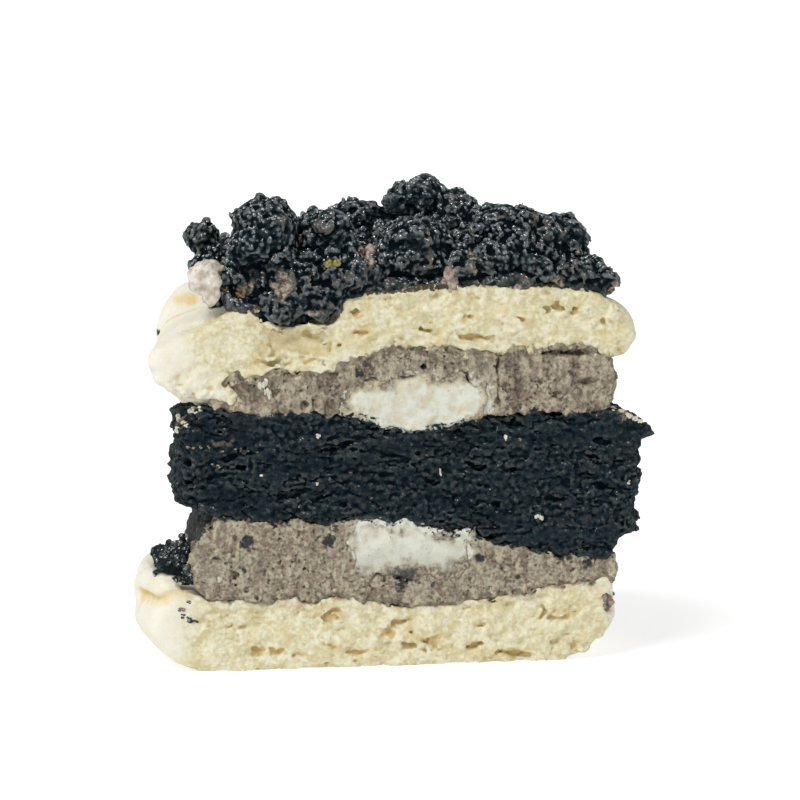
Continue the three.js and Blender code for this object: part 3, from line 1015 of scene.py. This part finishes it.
def crumbleFinish():
    look = crumbleLook
    f = Finish("blackCrumb", Roughness=0.85, Specular_IOR_Level=0.08)
    matte = f.mask("matte")
    height = f.mask("crease") + 0.2 * (f.grain(0.35, 3) - 0.5)
    patch = f.blend(f.step(f.grain(0.5, 5), 0.36, 0.6), look["creamDark"], look["creamLight"])
    cream = f.share("cream", 2.4, 1.3, 0.5, 0.95, 5)
    colour = f.layers(
        look["light"],
        # painted shade in the dips
        (f.step(height, 0.34, 0.48), look["middle"]),
        (0.75 * matte * f.step(f.grain(1.0, 5), 0.45, 0.68), look["smear"]),
        (0.6 * f.step(f.grain(2.2, 6), 0.54, 0.68), look["dust"]),
        # painted shade: dark in the deepest creases
        (f.step(height + 0.4 * (f.mask("hollow") - 0.5), 0.46, 0.58), look["dark"]),
        (0.95 * cream, patch),
    )
    f.feed("Base Color", colour)
    spots = f.spots(0.42)
    beads = f.bump(0.3 * f.grain(0.25, 3) - spots, 0.32)
    f.feed("Normal", beads)
    tops = f.step(0.56 - spots, 0, 0.16) * f.step(0.5 - f.mask("hollow"), -0.08, 0.04)
    tops = tops * f.step(f.grain(2.4, 3), 0.3, 0.42) * f.step(f.spots(0.42, "Color"), 0.25, 0.5)
    shine = look["glint"] * (tops * f.mask("up") * (1 - 0.6 * matte) * (1 - cream))
    f.shine(shine, Base_Color=colour, Roughness=0.26, IOR=2.4, Specular_IOR_Level=1.0, Normal=beads)
    return f.material


def creamOn(points):
    mark = np.zeros(len(points), np.float32)
    for x, z, wide, high in creamPatches:
        away = np.hypot((points[:, 0] - x) / wide, (points[:, 2] - z) / high)
        mark = np.maximum(mark, 1 - rise(away, 0.1, 1.3))
    return mark * nearCut(points, 4, 7)


def matteFront(points):  # crumbs that the knife went through
    return nearCut(points, -0.3, 0.6) * (1 - rise(points[:, 2], 42, 45))


def crumbleRelief(points, depth):
    fine = nearCut(points, 8, 13)  # smaller granules towards the cut
    gaps = 0.5 * rise(fractal(points, 2.4, 3, 75), 0.45, 0.9)
    lumps = 0.5 * grains(points, 1.9, 71) + 0.3 * noise(points, 4.2, 74)
    beads = (0.5 - 0.2 * fine) * grains(points, 0.95, 72) + (0.3 + 0.5 * fine) * grains(points, 0.6, 73)
    front = matteFront(points)
    torn = 0.4 * fractal(points, 1.2, 4, 76, 0.7) + 0.12 * grains(points, 1.8, 79)
    relief = gaps + (1 - 0.7 * front) * (lumps + beads) + front * torn
    # a roll of granules sits down on the shell's edge
    roll = np.hypot(behindCut(points) - 1.3, underGlue(points) + 0.8) - 1.25 + 0.3 * noise(points, 2.2, 78)
    roll = roll + 3 * (1 - rise(points[:, 0], -20, -18.5)) + 3 * rise(points[:, 0], 22, 23)
    return np.minimum(relief, np.maximum(roll - depth, -2.4) + 0.5 * relief)


def crumbleMasks(points):
    return {"cream": creamOn(points), "matte": matteFront(points)}


shell = shellFinish()
cream = creamFinish()
white = centreFinish()
blackCrumb = crumbleFinish()
carve("bottom_shell", shell, bottomShellRelief, bottomShellMasks, 130000,
      beside=["lower_cream"], deep=1.5)
carve("top_shell", shell, topShellRelief, topShellMasks, 150000,
      beside=["upper_cream", "crumble"], deep=1.5)
for name in ("lower_cream", "upper_cream"):
    carve(name, cream, creamRelief, creamMasks, 85000, swell=0.34)
for name in bothCentres:
    carve(name, white, centreRelief, centreMasks, 24000, swell=0.42)
carve("cake_slab", cakeFinish(), cakeRelief, cakeMasks, 185000, deep=1.6)
carve("crumble", blackCrumb, crumbleRelief, crumbleMasks, 190000,
      warp=0.7, step=0.15, back=0.2, inner=0, deep=2.5, fill=0.8)


# the photograph's view, from which small things are placed too
view = {"turn": -10, "lift": 6, "away": 340, "target": (-0.35, cutY, 28.6), "lens": 144.3}


def towards(turn, lift):  # from the object, degrees, 0 in front
    turn, lift = math.radians(turn), math.radians(lift)
    return Vector((math.sin(turn) * math.cos(lift), -math.cos(turn) * math.cos(lift), math.sin(lift)))


# small things stuck on the cut and spilt round the rims
# places: x and z where the eye meets the cut's plane, half width, half height
whiteFlakes = {
    "light": srgb(226, 224, 208),
    "dark": srgb(208, 202, 184),
    "roughness": 0.6,
    "specular": 0.3,
    "uneven": 0.5,
    "sink": 0.3,
    "parts": 4,
    "places": [
        (-9.2, 25, 0.25, 0.28), (11, 24.4, 0.2, 0.42), (4, 21, 0.22, 0.4), (-9.2, 19.9, 0.16, 0.16),
        (14.7, 15.8, 0.42, 0.4), (-15.2, 20.9, 0.18, 0.18), (-23.9, 27.3, 0.45, 0.5),
        (-23.2, 26.6, 0.4, 0.35), (-24, 25.7, 0.35, 0.35), (-22.6, 27.8, 0.5, 0.35),
        (-21.6, 27.9, 0.4, 0.3), (-15, 30.5, 0.35, 0.7), (-14.3, 29.3, 0.3, 0.6),
        (-19.7, 9.9, 0.3, 0.4), (7.8, 45.9, 0.25, 0.2), (24.6, 19.2, 0.2, 0.2), (22.8, 27.3, 0.5, 0.3),
        (23.7, 26.9, 0.5, 0.3), (24.5, 26.5, 0.45, 0.3), (25.2, 26.1, 0.45, 0.3),
        (25.9, 25.8, 0.4, 0.25),
    ],
}
tanCrumbs = {
    "light": srgb(168, 154, 126),
    "dark": srgb(116, 100, 80),
    "roughness": 0.6,
    "specular": 0.3,
    "uneven": 0.5,
    "sink": 0.3,
    "parts": 3,
    "places": [
        (-23, 24.1, 0.22, 0.18), (-22.4, 24, 0.2, 0.22), (-21.6, 24, 0.22, 0.16),
        (-20.7, 23.9, 0.18, 0.15), (-19.3, 23.5, 0.16, 0.12), (-17.9, 23.7, 0.24, 0.2),
        (-17.3, 23.6, 0.2, 0.16), (-16.6, 23.5, 0.18, 0.16), (-15.6, 23.3, 0.2, 0.14),
        (-20.4, 22.2, 0.3, 0.2), (-19.7, 22, 0.26, 0.2), (-5.6, 23.9, 0.14, 0.1),
        (12.6, 24.2, 0.14, 0.1), (-11.2, 17.5, 0.12, 0.16), (7.2, 46.4, 0.22, 0.3),
        (20.4, 23.2, 0.2, 0.1), (2.6, 22.6, 0.14, 0.1), (-3.4, 18.2, 0.14, 0.12),
        (9.4, 18.8, 0.14, 0.1), (-1.8, 33.6, 0.2, 0.15),
    ],
}
amberBits = {
    "light": srgb(176, 118, 32),
    "dark": srgb(104, 60, 16),
    "roughness": 0.25,
    "specular": 0.5,
    "uneven": 0.4,
    "sink": 0.5,
    "parts": 2,
    "places": [(-18.9, 40.7, 0.5, 0.2), (-17.4, 39.9, 0.55, 0.4), (-16.8, 40.4, 0.25, 0.4)],
}
greenBead = {
    "light": srgb(172, 160, 72),
    "dark": srgb(110, 98, 40),
    "roughness": 0.2,
    "specular": 0.5,
    "uneven": 0.08,
    "sink": 0,
    "parts": 1,
    "places": [(-7.9, 43.1, 0.5, 0.45), (-7.1, 43.2, 0.45, 0.42)],
}
dustyCrumbs = {
    "light": srgb(168, 148, 136),
    "dark": srgb(104, 90, 86),
    "roughness": 0.7,
    "specular": 0.3,
    "uneven": 0.4,
    "sink": 0.2,
    "parts": 3,
    "places": [
        (22.1, 6.9, 0.6, 0.5), (22.7, 6.2, 0.7, 0.6), (22.2, 5.6, 0.5, 0.45), (23.2, 6.8, 0.3, 0.3),
        (-23.6, 6.8, 0.4, 0.3), (17.6, 8, 0.4, 0.3),
    ],
}
blackCrumbs = {
    "uneven": 0.3,
    "sink": 0.3,
    "parts": 4,
    "clumpReach": 3.4,
    "clumpCount": 260,
    "clumpSize": (0.12, 0.3),
    "looseSize": (0.2, 0.55),
    "places": [
        (-26, 36.3, 0.25, 0.3), (-23.1, 7.6, 0.28, 0.25), (-22.9, 5.8, 0.45, 0.35),
        (-23.5, 6.2, 0.3, 0.25), (-22.4, 5.6, 0.3, 0.3), (-23.3, 12.2, 0.7, 0.7),
        (-23.1, 11.2, 0.7, 0.7), (-22.8, 10.3, 0.7, 0.6), (-22.5, 9.6, 0.5, 0.5),
        (-23.4, 10.8, 0.6, 0.6), (-23.5, 9.7, 0.7, 0.5), (-23.9, 10, 0.6, 0.5), (-23.1, 9.4, 0.6, 0.4),
        (-22.9, 10, 0.6, 0.5),
    ],
}
creamSmears = {
    "light": srgb(186, 170, 156),
    "dark": srgb(134, 117, 106),
    "roughness": 0.5,
    "specular": 0.4,
    "sink": 0.4,
    "parts": 3,
    "places": [
        (-3.7, 44.4, 0.5, 0.8), (-3.3, 43.3, 0.45, 0.6), (5.2, 41.4, 0.7, 1.1), (23.4, 39.7, 0.55, 0.9),
    ],
}
creamDabs = {
    "light": srgb(234, 227, 215),
    "dark": srgb(192, 177, 159),
    "roughness": 0.3,
    "specular": 0.5,
    "mottle": 1.0,
}
bigDabs = [  # a middle and half sizes, at the crumble's left foot
    ((-20.5, cutY + 1, 42.8), (1.4, 1, 0.7)), ((-21.5, cutY + 0.9, 41.9), (1.2, 1, 1)),
    ((-21.9, cutY + 0.7, 40.9), (0.9, 0.9, 0.9)), ((-20.8, cutY + 0.6, 41), (1.1, 0.9, 1.1)),
    ((-20.5, cutY + 0.5, 39.8), (0.9, 0.8, 0.9)), ((-19.9, cutY + 0.7, 41.6), (0.8, 0.8, 0.7)),
]


def bitFinish(name, look):
    f = Finish(name, Roughness=look["roughness"], Specular_IOR_Level=look["specular"])
    mottle = f.step(f.grain(look.get("mottle", 0.5), 3), 0.38, 0.62)
    f.feed("Base Color", f.blend(mottle, look["dark"], look["light"]))
    f.feed("Normal", f.bump(f.grain(0.2, 3), 0.06))
    return f.material


def roundCrumb(detail):
    ball = bmesh.new()
    bmesh.ops.create_icosphere(ball, subdivisions=detail, radius=1)
    points = np.array([v.co for v in ball.verts], np.float32)
    faces = np.array([[v.index for v in face.verts] for face in ball.faces])
    ball.free()
    return points, faces


# crumbs in one mesh, each from a middle in mm and half sizes
def crumbPile(name, material, places, uneven, seed, detail=3, **masks):
    draw = np.random.default_rng(seed)
    ball, faces = roundCrumb(detail)
    points, polygons = [], []
    for n, (middle, half) in enumerate(places):
        turn = np.array(Euler(draw.random(3) * 6.3).to_matrix(), np.float32)
        rough = 1 + uneven * fractal(ball + 7 * n, 0.9, 2, seed)[:, None]
        points.append((ball @ turn) * rough * np.array(half) + np.array(middle))
        polygons.append(faces + n * len(ball))
    piece = meshObject(name, np.concatenate(points), np.concatenate(polygons), material)
    for mask, value in masks.items():
        paint(piece, mask, np.full(len(places) * len(ball), value))
    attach(piece, "root")
    print(f"{name}: {len(places)} crumbs")


lumpMargin = 0.8
lumpStep = 0.13
lumpBlend = 5  # higher for sharper creases between lumps


def creamLumps(name, material, places, seed):  # lumps that run together
    axes = []
    for n in range(3):
        low = min(middle[n] - half[n] for middle, half in places) - lumpMargin
        high = max(middle[n] + half[n] for middle, half in places) + lumpMargin
        axes.append(np.arange(low, high, lumpStep))
    points = np.stack(np.meshgrid(*axes, indexing="ij"), 3).reshape(-1, 3).astype(np.float32)
    total = 1e-9
    for middle, half in places:
        total = total + np.exp(-lumpBlend * min(half) * (stretchFrom(points, middle, half) - 1))
    depth = -np.log(total) / lumpBlend + 0.3 * fractal(points, 1.7, 4, seed, 0.6)
    piece = meshObject(name, *netOver(depth.reshape([len(axis) for axis in axes]), axes), material)
    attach(piece, "root")
    print(f"{name}: {len(places)} lumps")


trees = {}
for name, piece in pieces.items():
    faces = [face.vertices for face in piece.data.polygons]
    trees[name] = BVHTree.FromPolygons(vertexPlaces(piece.data).tolist(), faces)


partSpread = 0.5  # of a cluster's parts, in half sizes
partSize = (0.35, 0.75)  # against the whole cluster
partThickness = 0.8  # against the lesser half size
aboveRims = 45  # from here loose crumbs fall


def onCut(bits):  # pressed on what the eye sees there, each as a cluster of parts
    draw = np.random.default_rng(9)
    eye = Vector(view["target"]) + view["away"] * towards(view["turn"], view["lift"])
    sink, parts = bits["sink"], bits["parts"]
    found = []
    for x, z, wide, high in bits["places"]:
        for n in range(parts):
            aside = draw.normal(size=2) * partSpread if n else (0, 0)
            share = draw.uniform(*partSize) if parts > 1 else 1
            aim = (Vector((x + wide * aside[0], cutY, z + high * aside[1])) - eye).normalized()
            hits = [tree.ray_cast(eye, aim) for tree in trees.values()]
            away = min([hit[3] for hit in hits if hit[0]], default=None)
            if away:
                thick = min(wide, high) * partThickness * share
                found.append((eye + aim * (away + sink * thick), (wide * share, thick, high * share)))
    return found


def pressBits(name, finish, bits, seed):
    crumbPile(name, bitFinish(finish, bits), onCut(bits), bits["uneven"], seed)


def strewn(node, middle, seed):  # granules over a lump
    draw = np.random.default_rng(seed)
    reach = blackCrumbs["clumpReach"]
    found = []
    for _ in range(blackCrumbs["clumpCount"]):
        out = Vector(draw.normal(size=3)).normalized()
        hit = trees[node].ray_cast(Vector(middle) + out * 2 * reach, -out)[0]
        if hit and (hit - Vector(middle)).length < reach:
            size = draw.uniform(*blackCrumbs["clumpSize"])
            found.append((hit, tuple(size * draw.uniform(0.7, 1.2, 3))))
    return found


def spilt(node, count, radius, x, seed):  # loose crumbs on a rim, behind the axis
    draw = np.random.default_rng(seed)
    found = []
    while len(found) < count:
        turn = draw.uniform(0.2, math.pi - 0.2)
        out = draw.uniform(*radius)
        size = draw.uniform(*blackCrumbs["looseSize"])
        start = Vector((x + out * math.cos(turn), axisY + out * math.sin(turn), aboveRims))
        hit = trees[node].ray_cast(start, Vector((0, 0, -1)))[0]
        if hit:
            half = size * draw.uniform(0.6, 1.1, 3)
            found.append((hit + Vector((0, 0, 0.4 * size)), tuple(half)))
    return found


clumped = strewn("bottom_shell", bottomShape["clump"][0], 8)
loose = spilt("top_shell", 22, (22.5, 25.4), topShape["x"], 5)
loose += spilt("bottom_shell", 12, (23.5, 25.2), bottomShape["x"], 6)
creamLumps("cream_dabs", bitFinish("creamDab", creamDabs), bigDabs, 7)
creamLumps("cream_smears", bitFinish("creamSmear", creamSmears), onCut(creamSmears), 7)
pressBits("white_flakes", "whiteFlake", whiteFlakes, 1)
pressBits("tan_crumbs", "tanCrumb", tanCrumbs, 2)
pressBits("amber_bits", "amberBit", amberBits, 3)
pressBits("green_bead", "greenBead", greenBead, 4)
black = onCut(blackCrumbs) + loose + clumped
crumbPile("black_crumbs", blackCrumb, black, blackCrumbs["uneven"], 5, 2, crease=0.44, hollow=0.45, up=0.8)
pressBits("dusty_crumbs", "dustyCrumb", dustyCrumbs, 6)


# pale floor with an upturned edge, soft light, camera
stage = {
    "reach": 1600,  # of the flat floor, mm
    "bend": 400,
    "floor": 0.6,
    "glow": 0.55,
    "sky": 0.6,
    "sun": 1.75,
    "sunAngle": 24,
    "sunTurn": -45,
    "sunLift": 50,
}


def makeFloor():
    wide, bend = stage["reach"], stage["bend"]
    profile = [(wide, 0)]
    profile += [(wide + bend * math.sin(a), bend - bend * math.cos(a)) for a in np.linspace(0.1, 1.4, 12)]
    turns = np.linspace(0, 2 * math.pi, 64, endpoint=False)
    points = [(0, 0, 0)]
    points += [(r * math.cos(t) * mm, r * math.sin(t) * mm, z * mm) for r, z in profile for t in turns]
    n = len(turns)
    faces = [(0, 1 + i, 1 + (i + 1) % n) for i in range(n)]
    for k in range(len(profile) - 1):
        inner, outer = 1 + k * n, 1 + (k + 1) * n
        faces += [(inner + i, outer + i, outer + (i + 1) % n, inner + (i + 1) % n) for i in range(n)]
    grey = (stage["floor"],) * 3 + (1,)
    pale = Finish("paleFloor", Roughness=0.9, Base_Color=grey, Emission_Color=(1, 1, 1, 1),
                  Emission_Strength=stage["glow"])
    mesh = bpy.data.meshes.new("floor")
    mesh.from_pydata(points, [], faces)
    mesh.materials.append(pale.material)
    mesh.shade_smooth()
    floor = addObject("floor", mesh)


def makeLight():
    world = bpy.data.worlds.new("studio")
    world.use_nodes = True
    sky = world.node_tree.nodes["Background"].inputs
    sky["Color"].default_value = (1, 1, 1, 1)
    sky["Strength"].default_value = stage["sky"]
    bpy.context.scene.world = world
    bpy.context.scene.view_settings.view_transform = "Standard"
    sun = bpy.data.lights.new("key", "SUN")
    sun.energy = stage["sun"]
    sun.angle = math.radians(stage["sunAngle"])
    holder = addObject("key", sun)
    holder.rotation_euler = towards(stage["sunTurn"], stage["sunLift"]).to_track_quat("Z", "Y").to_euler()


def makeCamera():
    back = towards(view["turn"], view["lift"])
    camera = bpy.data.cameras.new("camera")
    camera.lens = view["lens"]
    camera.sensor_width = 36
    camera.clip_start, camera.clip_end = 0.01, 100
    holder = addObject("camera", camera)
    holder.location = (Vector(view["target"]) + view["away"] * back) * mm
    holder.rotation_euler = back.to_track_quat("Z", "Y").to_euler()
    bpy.context.scene.camera = holder


makeFloor()
makeLight()
makeCamera()
print("stage and camera ready")

shown = [thing for thing in bpy.data.objects if thing.type == "MESH" and thing.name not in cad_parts]
print("triangles in all:", sum(triangleCount(thing.data) for thing in shown))
